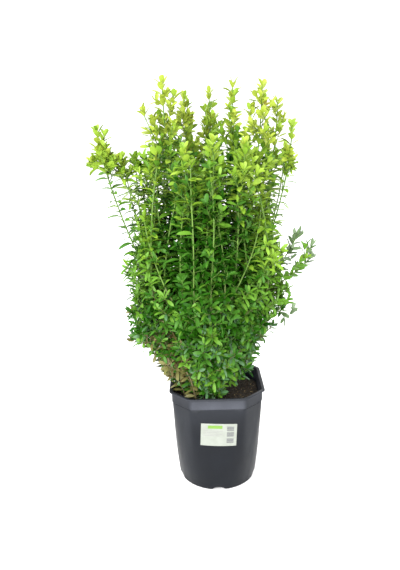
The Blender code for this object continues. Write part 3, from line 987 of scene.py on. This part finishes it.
def front_turn(x, z):
    """The direction from the crown's axis to the place on its front at this x and height."""
    turns = np.linspace(-0.95 * pi, -0.05 * pi, 90)
    return turns[np.argmin([abs(CROWN_SHIFT + crown_reach(t, z) * cos(t) - x) for t in turns])]


def grow_surface_cane(plant, first_turn, last_turn, top, share):
    """A cane that fans out of the crown's foot and then keeps to a share of the way to its outline."""
    rng = plant.rng
    heights = np.linspace(FAN_LOW + rng.uniform(0, 0.03), top, 26)
    turns = np.linspace(first_turn, last_turn, 26)
    reach = np.polyval(np.polyfit(heights, [crown_reach(t, z) for t, z in zip(turns, heights)], 2), heights)
    reach = reach * share * (0.55 + 0.45 * eased((heights - FAN_LOW) / FAN_RISE))
    upper = np.stack([CROWN_SHIFT + reach * np.cos(turns), reach * np.sin(turns), heights], 1)
    line = inside_only(resampled(rooted(rng, wander(rng, upper, 0.0022)), CANE_STEP))
    plant.add_cane(line, CANE_BASE_RADIUS * rng.uniform(0.7, 1.0), CANE_TIP_RADIUS, "surface")


def grow_ladder_canes(plant):
    rng = plant.rng
    for low, middle, high, tones in LADDER_CANES:
        knee = 2 * np.array(middle) - (np.array(low) + high) / 2
        upper = wander(rng, curve((low, knee, high), 24), 0.0012)
        line = resampled(rooted(rng, upper), CANE_STEP)
        plant.add_cane(line, 0.85 * CANE_BASE_RADIUS, CANE_TIP_RADIUS, tones)


def grow_low_shoots(plant):
    """Short leafy side shoots all round the crown's lower half, which make its outline ragged."""
    rng = plant.rng
    for k in range(LOW_SHOOTS):
        turn = TAU * k * GOLDEN_SHARE
        z = 0.285 + 0.17 * ((k * GOLDEN_SHARE * 3.1) % 1)
        reach = crown_reach(turn, z) + rng.uniform(-0.012, 0.016)
        goal = reach * ray(turn) + (CROWN_SHIFT, 0, z)
        if goal[0] > BARE_SOIL_X + BARE_SOIL_SLOPE * (z - SOIL_TOP) and z < BARE_SOIL_Z + 0.03:
            continue
        foot = goal - rng.uniform(0.045, 0.065) * ray(turn) - (0, 0, rng.uniform(0.020, 0.045))
        knee = 0.5 * (foot + goal) - (0, 0, 0.010)
        line = resampled(wander(rng, curve((foot, knee, goal), 12), 0.0015), CANE_STEP)
        plant.add_cane(line, 1.2 * TWIG_BASE_RADIUS, TWIG_TIP_RADIUS, "low_shoot")


def grow_inner_canes(plant):
    """Canes that fill the crown's middle and end between the plumes."""
    rng = plant.rng
    for k in range(INNER_CANES):
        turn = TAU * k * GOLDEN_SHARE
        reach = INNER_REACH * ((k + 0.5) / INNER_CANES) ** 0.5
        tip = np.array([
            CROWN_SHIFT + reach * cos(turn),
            reach * sin(turn),
            rng.uniform(0.63, 0.765) - 0.3 * reach,
        ])
        rise = np.linspace((0.36 - SOIL_TOP) / (tip[2] - SOIL_TOP), 1, 26)
        upper = wander(rng, np.array([limb_point(tip, s) for s in rise]), 0.002)
        line = inside_only(resampled(rooted(rng, upper), CANE_STEP))
        plant.add_cane(line, CANE_BASE_RADIUS, CANE_TIP_RADIUS, "inner")


def grow_spray_canes(plant):
    rng = plant.rng
    for root, tip in SPRAYS.values():
        root, tip = np.array(root), np.array(tip)
        tip = tip - 0.14 * (tip - root)
        line = curve((root, root * 0.4 + tip * 0.6 - (0, 0, 0.008), tip - (0, 0, 0.003)), 20)
        line = resampled(wander(rng, line, 0.0008), CANE_STEP)
        plant.add_cane(line, 0.7 * CANE_BASE_RADIUS, 0.8 * CANE_TIP_RADIUS, "spray")


def grow_suckers(plant):
    """Short shoots out of the compost round the stock, which hide the plant's foot."""
    rng = plant.rng
    for k in range(SUCKERS):
        turn = TAU * k * GOLDEN_SHARE
        reach = 0.018 + 0.050 * ((k + 0.5) / SUCKERS) ** 0.5
        foot = reach * ray(turn) + (SUCKER_SHIFT, 0, SOIL_TOP - 0.002)
        if foot[0] > BARE_SOIL_X:
            continue
        height = rng.uniform(0.05, 0.12)
        lean = 0.25 * height * ray(turn) - (0.1 * height, 0, 0)
        line = curve((foot, foot + (0, 0, 0.5 * height), foot + lean + (0, 0, height)), 14)
        line = inside_only(resampled(wander(rng, line, 0.0012), CANE_STEP))
        plant.add_cane(line, 0.6 * CANE_BASE_RADIUS, CANE_TIP_RADIUS, "sucker")


# Twigs

def spacing_at(name, point, share):
    """How far apart twigs end: close together outside and low down, wider in the crown's dark middle."""
    if name.startswith("spray"):
        return 0.0185
    if name.startswith("mass_skirt"):
        return 0.0110
    if name.startswith("plume"):
        return 0.0182 if point[2] < 0.745 else 0.0202
    if share < 0.62:
        return 0.0230
    return 0.0135 if point[2] < 0.42 else 0.0155


def twig_goals(rng):
    """Well spread places inside the foliage solids, for twigs to reach, and the solid that holds each."""
    goals = []
    kept = np.full((9000, 3), 9.0)
    for name, (_, low, high) in masses.items():
        finest = spacing_at(name, low, 1)
        tries = int(np.prod(high - low) / (0.30 * finest ** 3))
        for point in rng.uniform(low, high, (tries, 3)):
            if depth_in(name, point) < 0.003:
                continue
            if not name.startswith("spray") and not within_edges(point) or rng.uniform() < openness(point):
                continue
            share = crown_share(point)
            on_ladder = name.startswith("mass_body") and LADDER_LOW < point[2] < LADDER_HIGH and share > 0.88
            if on_ladder and rng.uniform() < LADDER_OPEN:
                continue
            if point[0] > BARE_SOIL_X + BARE_SOIL_SLOPE * (point[2] - SOIL_TOP) and point[2] < BARE_SOIL_Z:
                continue
            spacing = spacing_at(name, point, share)
            if np.min(np.sum((kept[:len(goals) + 1] - point) ** 2, 1)) < spacing ** 2:
                continue
            kept[len(goals)] = point
            goals.append((point, name, share))
    for name, middle, radius, count in CLUSTERS:
        for _ in range(count):
            way = rng.normal(0, 1, 3)
            place = np.array(middle) + radius * rng.uniform(0.4, 1.0) * way / np.linalg.norm(way)
            goals.append((place, name, 1.0))
    return goals


def grow_twigs(plant):
    """A twig to each goal from the best place below it on a limb or an older twig."""
    rng = plant.rng
    goals = twig_goals(rng)
    starts = np.array(plant.starts)
    nearest = [np.min(np.sum((starts[:, :3] - goal) ** 2, 1)) for goal, _, _ in goals]
    room = np.zeros((len(starts) + 3 * len(goals), 7))
    room[:len(starts)] = starts
    used = len(starts)
    for pick in np.argsort(nearest):
        goal, owner, share = goals[pick]
        steep = 0.75 if owner.startswith("plume") else 0.45
        reach = goal - room[:used, :3]
        away = np.linalg.norm(reach, axis=1) + 1e-9
        cost = away * (1 + 1.6 * np.clip(steep - reach[:, 2] / away, 0, 2)) + np.where(away < 0.016, 0.03, 0)
        best = int(np.argmin(cost))
        foot = room[best, :3].copy()
        length = away[best]
        step = reach[best]
        knee = foot + room[best, 3:6] * length * 0.25 + step * (0.42, 0.42, 0.22)
        line = curve((foot, knee, goal - np.array([0, 0, 0.18 * length]), goal), TWIG_RINGS)
        line = line + rng.normal(0, 0.0006, line.shape) * np.linspace(0, 1, TWIG_RINGS)[:, None]
        radius = min(TWIG_BASE_RADIUS, 0.8 * room[best, 6])
        plant.twigs.append((line, radius, owner, share))
        along = tangents(line)
        for k in (2, 3, 4):
            room[used] = (*line[k], *along[k], radius)
            used += 1


# Leaves

LEAF_PLACES = (0.12, 0.34, 0.60, 0.85)
LEAF_HALVES = (0.50, 0.88, 1.00, 0.70)
LEAF_CORNERS = 14

# How leaves stand on a kind of shoot: gap between pairs, length, width by length, angle from the shoot,
# curl, fold along the rib, how far the youngest close up, how much they twist at random, and how far
# their faces turn outwards, to the light
HABITS = {
    "top": (0.0122, 0.0228, 0.48, 47, 0.22, 0.22, 0.35, 0.26, 0.40),
    "tuft": (0.0116, 0.0222, 0.48, 50, 0.20, 0.18, 0.30, 0.28, 0.40),
    "cane": (0.0130, 0.0230, 0.40, 54, 0.66, 0.25, 0.45, 0.34, 0.22),
    "ladder": (0.0100, 0.0255, 0.46, 60, 0.58, 0.30, 0.45, 0.50, 0.20),
    "twig": (0.0090, 0.0215, 0.34, 56, 0.75, 0.15, 0.40, 0.30, 0.12),
    "low": (0.0080, 0.0200, 0.36, 56, 0.50, -0.10, 0.40, 0.34, 0.42),
    "spray": (0.0125, 0.0250, 0.38, 42, 0.22, 0.20, 0.25, 0.25, 0.40),
}
TIP_CROWDING = (0.42, 0.68, 0.88)
YOUNG_SHRINK = 0.22
TONES = ["deep", "dark", "mid", "fresh", "lime", "pale", "tip"]
WITHERED = ["dry", "straw", "rust"]
WITHERED_MIX = 0.6
# Tone level by height: the pale top is partly the lime of new growth and partly painted light on the sunlit top
TONE_HEIGHTS = (0.28, 0.36, 0.42, 0.52, 0.58, 0.64, 0.70, 0.76, 0.80)
TONE_LEVELS = (2.1, 1.6, 1.2, 1.0, 1.7, 3.1, 4.5, 5.4, 5.8)
SIDE_START = 0.065
SIDE_LIFT = 1.8
RIGHT_LIFT = 0.9
TONE_TILT = 0.20
CANE_LIFT = 1.3


def leaf_faces():
    """Corner numbers of one leaf: its stalk end, four ribs of three points and its tip."""
    faces = [(0, 2, 1), (0, 3, 2)]
    for rib in range(3):
        a = 1 + 3 * rib
        b = a + 3
        faces += [(a, a + 1, b + 1), (a, b + 1, b), (a + 1, a + 2, b + 2), (a + 1, b + 2, b + 1)]
    faces += [(10, 11, 13), (11, 12, 13)]
    return np.array(faces)


def leaf_mesh(name, rows):
    """All the leaves of one colour in one mesh, each folded a little along its rib and curled back."""
    rows = np.array(rows)
    base, way, up = rows[:, 0:3], rows[:, 3:6], rows[:, 6:9]
    side = np.cross(way, up)
    length, width, curl, fold = rows[:, 9:13].T
    columns = [base]
    for place, half in zip(LEAF_PLACES, LEAF_HALVES):
        spine = base + way * (length * place)[:, None] - up * (curl * length * place ** 2)[:, None]
        out = side * (width * half / 2)[:, None]
        raised = up * (fold * width * half / 2)[:, None]
        columns += [spine - out + raised, spine, spine + out + raised]
    columns.append(base + way * (0.985 * length)[:, None] - up * (curl * length)[:, None])
    faces = (leaf_faces()[None] + LEAF_CORNERS * np.arange(len(rows))[:, None, None]).reshape(-1, 3)
    return mesh_of(name, np.stack(columns, 1), faces)


def region_of(name):
    return {"skirt": "skirt", "body": "body"}.get(name.split("_")[1], name.split("_")[0])


def shifted(rng, tone, z):
    """The same tone, or now and then its neighbour, or low down now and then the bluish tone of painted sheen; the
    palest stay near the top.
    """
    if tone in WITHERED:
        return rng.choice([*WITHERED, "mid", "dark"]) if rng.uniform() < WITHERED_MIX else tone
    if tone not in TONES:
        return tone
    # Painted sheen: low down, some leaves take the bluish tone
    if rng.uniform() < SHEEN_SHARE * (SHEEN_BELOW - z):
        return "blue"
    step = rng.choice([-1, 0, 1], p=[0.08, 0.84, 0.08])
    palest = 3 if z < 0.48 else 4 if z < 0.60 else 5 if z < 0.68 else 6
    return TONES[min(max(TONES.index(tone) + step, 0), palest)]


def browned(rng, point):
    """Whether a shoot stands in the withered patch low on the left of the front."""
    gap = (point - np.array(BROWN_MIDDLE)) / np.array(BROWN_SIZE)
    return rng.uniform() < 0.92 * np.exp(-0.5 * gap.dot(gap))


def spray_colour(rng, point, kind, share, owner):
    """The colour of the leaves on one shoot: paler high up, far out and near the top of its plume, partly the lime of
    new growth and partly painted light; darker deep in the crown, as painted shade.
    """
    if browned(rng, point):
        return rng.choice(["dry", "straw", "rust"], p=[0.45, 0.25, 0.30])
    if kind == "spray":
        # Spray leaves are mostly painted sheen, in the misty and bluish tones
        return rng.choice(["misty", "blue", "dark", "fresh", "lime"], p=[0.52, 0.12, 0.02, 0.17, 0.17])
    if kind == "low":
        return rng.choice(["mid", "fresh", "dark", "lime"], p=[0.38, 0.40, 0.16, 0.06])
    height = point[2] + TONE_TILT * point[1] + rng.normal(0, 0.010)
    if height > 0.76 and rng.uniform() < 0.012:
        return "bronze"
    level = np.interp(height, TONE_HEIGHTS, TONE_LEVELS)
    if kind == "cane":
        level += CANE_LIFT * (1 - eased((height - 0.60) / 0.12))
    else:
        # Painted shade: leaves deep in the crown are darker, less so near the top
        level -= 2.8 * (1 - eased((share - 0.45) / 0.40)) * (1 - 0.75 * eased((height - 0.62) / 0.10))
    if 0.40 < height < 0.66:
        level += SIDE_LIFT * eased((abs(point[0] - CROWN_SHIFT) - SIDE_START) / 0.05)
        level += RIGHT_LIFT * eased((point[0] - 0.03) / 0.05)
    if owner is not None and owner.startswith("plume"):
        drop = PLUME_TIPS[owner[6:]][2] - point[2]
        level += 0.5 - 0.9 * eased((drop - 0.04) / 0.14) + PLUME_SHADES.get(owner[6:], 0)
    return TONES[int(np.clip(round(level + rng.normal(0, 0.40)), 0, 6))]


def pair_places(line, gap, at_tip):
    """Points and directions of a line where pairs of leaves stand, closer together near a growing tip."""
    gaps = np.linalg.norm(np.diff(line, axis=0), axis=1)
    along = np.concatenate([[0], np.cumsum(gaps)])
    crowding = TIP_CROWDING if at_tip else ()
    back = gap * np.cumsum([0, *crowding, *np.ones(int(along[-1] / gap) + 1)])
    wanted = along[-1] - back[back <= along[-1]][::-1]
    ways = tangents(line)
    return [np.stack([np.interp(wanted, along, rows[:, k]) for k in range(3)], 1) for rows in (line, ways)]


def leaf_pairs(plant, line, first, tone, region, habit, size=1.0, at_tip=True):
    """Crossed pairs of leaves along a line from the share first to its tip, younger towards the tip."""
    rng = plant.rng
    step, length, wide, lean, curl, fold, closing, twist, facing = HABITS[habit]
    nodes, along = pair_places(line, step * size * rng.uniform(0.88, 1.12), at_tip)
    first_turn = rng.uniform(0, TAU)
    level = rng.normal(0.30, 0.25)
    count = len(nodes)
    for k in range(int(first * count), count):
        if openness(nodes[k]) > 0.88:
            continue
        young = 1 - min((count - 1 - k) / 3.5, 1.0) if at_tip else 0
        way = along[k] / np.linalg.norm(along[k])
        side = np.cross(way, (0.31, 0.87, 0.38))
        side /= np.linalg.norm(side)
        across = np.cross(way, side)
        away = np.array([nodes[k][0] - CROWN_SHIFT, nodes[k][1], 0])
        light = np.array([0, 0, 1]) + facing * away / (np.linalg.norm(away) + 0.02)
        if habit in ("cane", "ladder"):
            first_turn = atan2(across[0], side[0]) + level
        turn = first_turn + k * pi / 2 + rng.normal(0, 0.16)
        for half in (0, pi):
            out = side * cos(turn + half) + across * sin(turn + half)
            angle = radians(rng.normal(lean * (1 - closing * young), 8))
            stem = way * cos(angle) + out * sin(angle)
            up = way * sin(angle) - out * cos(angle) + light * rng.uniform(0.15, 0.75)
            up += rng.normal(0, twist, 3)
            up -= stem * up.dot(stem)
            up /= np.linalg.norm(up)
            long = length * size * (1 - YOUNG_SHRINK * young) * rng.uniform(0.82, 1.15)
            leaf = (
                *(nodes[k] + 0.0006 * out), *stem, *up, long, long * wide * rng.uniform(0.88, 1.12),
                rng.normal(curl * (1 - 0.8 * young), 0.07), fold + rng.normal(0, 0.12) + 0.25 * young,
            )
            plant.leaves.setdefault((region, shifted(rng, tone, nodes[k][2])), []).append(leaf)


def leaf_canes(plant):
    """Leaves on the canes themselves, in runs that change colour with height."""
    rng = plant.rng
    feet = {"surface": 0.345, "inner": 0.52, "sucker": SOIL_TOP + 0.012, "low_shoot": 0.0}
    habits = {"spray": "spray", "sucker": "low", "low_shoot": "low", "shoot": "tuft"}
    kinds = {"spray": "spray", "sucker": "low", "low_shoot": "low", "inner": "twig"}
    for line, _, _, kind in plant.canes:
        tones = kind if isinstance(kind, tuple) else None
        above = line[line[:, 2] > feet.get(kind, 0.45 if tones else 0.50)]
        if kind == "spray":
            above = line[len(line) // 4:]
        if kind == "shoot":
            above = line[2:]
        for k in range(0, len(above) - 2, CANE_RUN):
            part = above[k:k + CANE_RUN + 1]
            if len(part) < 3:
                part = above[-3:]
            owner, _ = mass_at(part[-1], 0.03)
            region = region_of(owner) if owner else "plume"
            habit = habits.get(kind, "top" if part[-1][2] > 0.69 else "cane")
            if habit == "cane" and (tones or kind == "far_left"):
                habit = "ladder"
            if habit == "ladder" and not tones:
                tone = rng.choice(["dark", "mid", "fresh"])
            elif tones:
                tone = tones[min(int((part[-1][2] - 0.45) / 0.08), len(tones) - 1)]
            else:
                tone = spray_colour(rng, part[-1], kinds.get(kind, "cane"), crown_share(part[-1]), owner)
            leaf_pairs(plant, part, 0.0, tone, region, habit, at_tip=k + CANE_RUN >= len(above) - 2)


def leaf_twigs(plant):
    rng = plant.rng
    for line, _, owner, share in plant.twigs:
        tip = line[-1]
        region = region_of(owner)
        habit = {"skirt": "low", "spray": "spray"}.get(region, "top" if tip[2] > 0.67 else "twig")
        if region == "body" and tip[2] < 0.38:
            habit = "low"
        tone = spray_colour(rng, tip, habit if region in ("skirt", "spray") else "twig", share, owner)
        leaf_pairs(plant, line, 0.30, tone, region, habit, rng.uniform(0.85, 1.08))


# Making the plant's meshes

def stretch(points, low, high):
    """The part of a limb between two heights, with one point beyond each end."""
    inside = np.flatnonzero((points[:, 2] >= low) & (points[:, 2] < high))
    if len(inside) == 0:
        return None
    return slice(inside[0], min(inside[-1] + 2, len(points)))


def make_wood(plant):
    rng = plant.rng
    old = bark_material("old", (0.070, 0.052, 0.032), (0.150, 0.120, 0.070))
    low = SOIL_TOP - 0.004
    heights = np.linspace(0, STOCK_HEIGHT + 0.004, 24)
    line = np.stack([np.zeros(24), np.zeros(24), low + heights], 1)
    widths = STOCK_RADIUS * np.interp(heights / STOCK_HEIGHT, (0, 0.12, 0.4, 1), (1.40, 1.08, 0.95, 0.8))
    stock = joined("stock_bark", [tube(line, widths, 28, bark_relief(rng, 24, 28, 0.05))], radians(50))
    finish_piece(stock, old, "bark", "stock")
    tubes = []
    for index in range(BODY_COUNT):
        line = resampled(bough_line(index), 0.0035)
        radii = np.linspace(BOUGH_BASE_RADIUS, BOUGH_TIP_RADIUS, len(line))
        tubes.append(tube(line, radii, 14, bark_relief(rng, len(line), 14, 0.06)))
    boughs = joined("bough_bark", tubes, radians(60))
    finish_piece(boughs, old, "bark", *[f"bough_{i + 1}" for i in range(BODY_COUNT)])
    shoots = [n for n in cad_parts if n.startswith("shoot_")]
    for name, low, high, dark, light in CANE_BARKS:
        bark = bark_material(name, dark, light)
        tubes = []
        for line, base, tip, _ in plant.canes:
            part = stretch(line, low, high)
            if part is None or part.stop - part.start < 2:
                continue
            radii = np.linspace(base, tip, len(line)) * (1 + 0.14 * (np.arange(len(line)) % 2))
            relief = bark_relief(rng, part.stop - part.start, 8, 0.04)
            tubes.append(tube(line[part], radii[part], 8, relief))
        finish_piece(joined("canes_" + name, tubes), bark, "bark", *(shoots if name == "green" else ()))
        tubes = []
        for line, radius, _, _ in plant.twigs:
            if low <= line[-1][2] < high:
                tubes.append(tube(line, np.linspace(radius, TWIG_TIP_RADIUS, len(line)), 4))
        finish_piece(joined("twigs_" + name, tubes), bark, "bark")


def make_leaves(plant):
    """One mesh for each region and colour; the fullest of a region stands for that region's solids."""
    slots = {"skirt": "dark_leaf", "body": "dark_leaf", "plume": "fresh_leaf", "spray": "fresh_leaf"}
    finishes = {name: leaf_material(name, colour) for name, colour in LEAF_COLOURS.items()}
    owned = {}
    for name in masses:
        owned.setdefault(region_of(name), []).append(name)
    fullest = {}
    for (region, colour), rows in plant.leaves.items():
        if len(rows) > len(plant.leaves.get((region, fullest.get(region)), ())):
            fullest[region] = colour
    for (region, colour), rows in sorted(plant.leaves.items()):
        name = f"leaves_{region}_{colour}"
        nodes = owned[region] if fullest[region] == colour else ()
        for part in range(0, len(rows), MOST_LEAVES):
            piece = linked(f"{name}_{part // MOST_LEAVES + 1}", leaf_mesh(name, rows[part:part + MOST_LEAVES]))
            finish_piece(piece, finishes[colour], slots[region], *(nodes if part == 0 else ()))


def make_plant():
    rng = np.random.default_rng(SEED)
    read_masses()
    read_outline()
    plant = Plant(rng)
    grow_plume_canes(plant)
    grow_plume_shoots(plant)
    grow_surface_canes(plant)
    grow_ladder_canes(plant)
    grow_inner_canes(plant)
    grow_spray_canes(plant)
    grow_suckers(plant)
    grow_low_shoots(plant)
    for index in range(BODY_COUNT):
        plant.open_to_twigs(bough_line(index)[3:], BOUGH_TIP_RADIUS)
    for line, base, _, _ in plant.canes:
        if len(line) > 4:
            plant.open_to_twigs(line[1:-2], base * 0.7)
    grow_twigs(plant)
    leaf_canes(plant)
    leaf_twigs(plant)
    make_wood(plant)
    make_leaves(plant)


# Camera, floor and light

CAMERA_PLACE = (-0.0307, -1.125, 0.732)
CAMERA_PITCH = radians(14.96)
CAMERA_ROLL = radians(-1.27)
FOCAL_PIXELS = 560
LONG_SIDE_PIXELS = 570
SENSOR = 36.0


def make_camera():
    data = bpy.data.cameras.new("camera")
    data.sensor_width = SENSOR
    data.lens = SENSOR * FOCAL_PIXELS / LONG_SIDE_PIXELS
    camera = bpy.data.objects.new("camera", data)
    tilt = Euler((pi / 2 - CAMERA_PITCH, 0, 0)).to_matrix() @ Matrix.Rotation(CAMERA_ROLL, 3, "Z")
    camera.matrix_world = Matrix.Translation(CAMERA_PLACE) @ tilt.to_4x4()
    bpy.context.scene.collection.objects.link(camera)
    bpy.context.scene.camera = camera


def area_light(name, place, aim, size, power, tint=(1, 1, 1)):
    data = bpy.data.lights.new(name, "AREA")
    data.shape = "RECTANGLE"
    data.size, data.size_y = size
    data.energy = power
    data.color = tint
    lamp = bpy.data.objects.new(name, data)
    lamp.location = place
    lamp.rotation_euler = (Vector(aim) - Vector(place)).to_track_quat("-Z", "Y").to_euler()
    lamp.visible_camera = False
    bpy.context.scene.collection.objects.link(lamp)


def sun_light(name, place, strength, spread):
    data = bpy.data.lights.new(name, "SUN")
    data.energy = strength
    data.angle = spread
    lamp = bpy.data.objects.new(name, data)
    lamp.rotation_euler = (-Vector(place)).to_track_quat("-Z", "Y").to_euler()
    bpy.context.scene.collection.objects.link(lamp)


def make_stage():
    points = [(-6, -6, -0.0004), (6, -6, -0.0004), (6, 6, -0.0004), (-6, 6, -0.0004)]
    floor = linked("floor", mesh_of("floor", points, [(0, 1, 2, 3)]))
    made, tree, shader = new_material("floor_white", (0.90, 0.90, 0.90), 0.7)
    tree.links.new(
        ramp(tree, noise(tree, 3, 3), [(0.3, (0.88, 0.88, 0.88)), (0.7, (0.92, 0.92, 0.92))]),
        shader.inputs["Base Color"],
    )
    floor.data.materials.append(made)
    world = bpy.data.worlds.new("world")
    world.use_nodes = True
    world.node_tree.nodes["Background"].inputs["Color"].default_value = (1, 1, 1, 1)
    world.node_tree.nodes["Background"].inputs["Strength"].default_value = 1.7
    bpy.context.scene.world = world
    bpy.context.scene.view_settings.view_transform = "Standard"
    sun_light("sky", (-0.6, -1.4, 1.8), 3.5, radians(60))
    area_light("front", (-0.5, -2.2, 0.9), (0, 0, 0.35), (1.6, 1.2), 50)


make_camera()
make_stage()
make_pot()
make_compost(np.random.default_rng(SEED + 1))
make_label()
make_plant()
